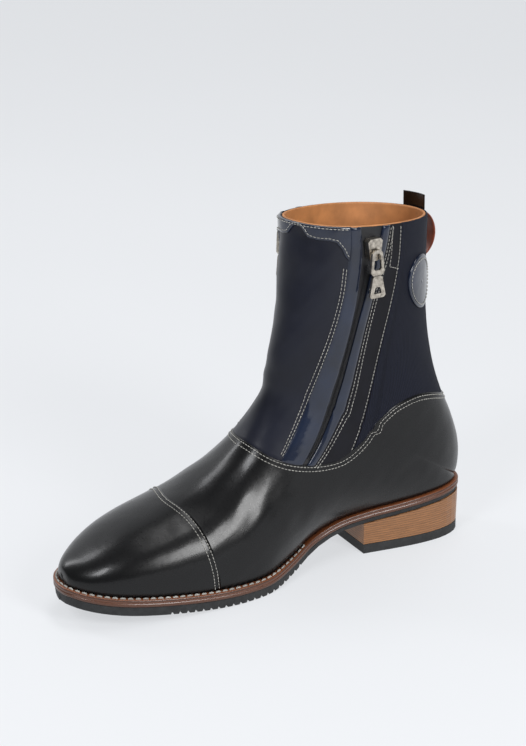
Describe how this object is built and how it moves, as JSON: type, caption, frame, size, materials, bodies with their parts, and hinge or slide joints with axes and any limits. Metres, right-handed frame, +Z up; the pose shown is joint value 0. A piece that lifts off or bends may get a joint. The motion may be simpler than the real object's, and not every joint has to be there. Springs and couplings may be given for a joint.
{
  "type": "paddock boot",
  "caption": "Right zip-sided leather ankle boot with a toe cap, patent collar and facings, elastic back, stitched welt, toothed rubber sole and stacked heel",
  "frame": {"origin": "on the floor under the middle of the heel", "axes": "toe towards -Y, inner side of the foot towards +X, +Z up"},
  "size_m": [0.0963, 0.2836, 0.2261],
  "materials": {
    "calf": "polished smooth calf",
    "panel": "matt grained leather",
    "patent": "patent leather",
    "strip": "matt grained leather",
    "elastic": "ribbed elastic",
    "lining": "undyed lining leather",
    "zip_tape": "woven tape",
    "nickel": "plated",
    "loop": "waxed leather",
    "welt": "dyed edge",
    "rubber": "moulded",
    "stack": "stacked leather, waxed"
  },
  "bodies": {
    "boot": {"upper": "lining", "foot_leather": "calf", "toe_cap": "calf", "front_panel": "panel", "elastic": "elastic", "facing_medial": "patent", "facing_lateral": "patent", "collar_piece": "patent", "rear_strip_medial": "strip", "rear_strip_lateral": "strip", "zip_medial": "zip_tape", "zip_lateral": "zip_tape", "zip_coil_medial": "zip_tape", "zip_coil_lateral": "zip_tape", "slider_medial": "nickel", "slider_lateral": "nickel", "patch_medial": "patent", "patch_lateral": "patent", "pull_loop": "loop", "back_tab": "calf", "welt": "welt", "outsole": "rubber", "heel_stack": "stack", "top_lift": "rubber", "insole": "lining"},
    "link_medial": {"pull_link_medial": "nickel"},
    "tab_medial": {"pull_tab_medial": "nickel"},
    "link_lateral": {"pull_link_lateral": "nickel"},
    "tab_lateral": {"pull_tab_lateral": "nickel"}
  },
  "joints": [
    {"name": "link_medial_hinge", "type": "hinge", "parent": "boot", "child": "link_medial", "pos_m": [0.04509, -0.04259, 0.20871], "axis": [0.1033, -0.9947, 0], "range_deg": [0, 80]},
    {"name": "tab_medial_hinge", "type": "hinge", "parent": "link_medial", "child": "tab_medial", "pos_m": [0.04509, -0.04259, 0.19521], "axis": [0.1033, -0.9947, 0], "range_deg": [0, 60]},
    {"name": "link_lateral_hinge", "type": "hinge", "parent": "boot", "child": "link_lateral", "pos_m": [-0.02673, -0.06884, 0.20874], "axis": [-0.5639, 0.8258, 0], "range_deg": [0, 80]},
    {"name": "tab_lateral_hinge", "type": "hinge", "parent": "link_lateral", "child": "tab_lateral", "pos_m": [-0.02673, -0.06884, 0.19524], "axis": [-0.5639, 0.8258, 0], "range_deg": [0, 60]}
  ]
}
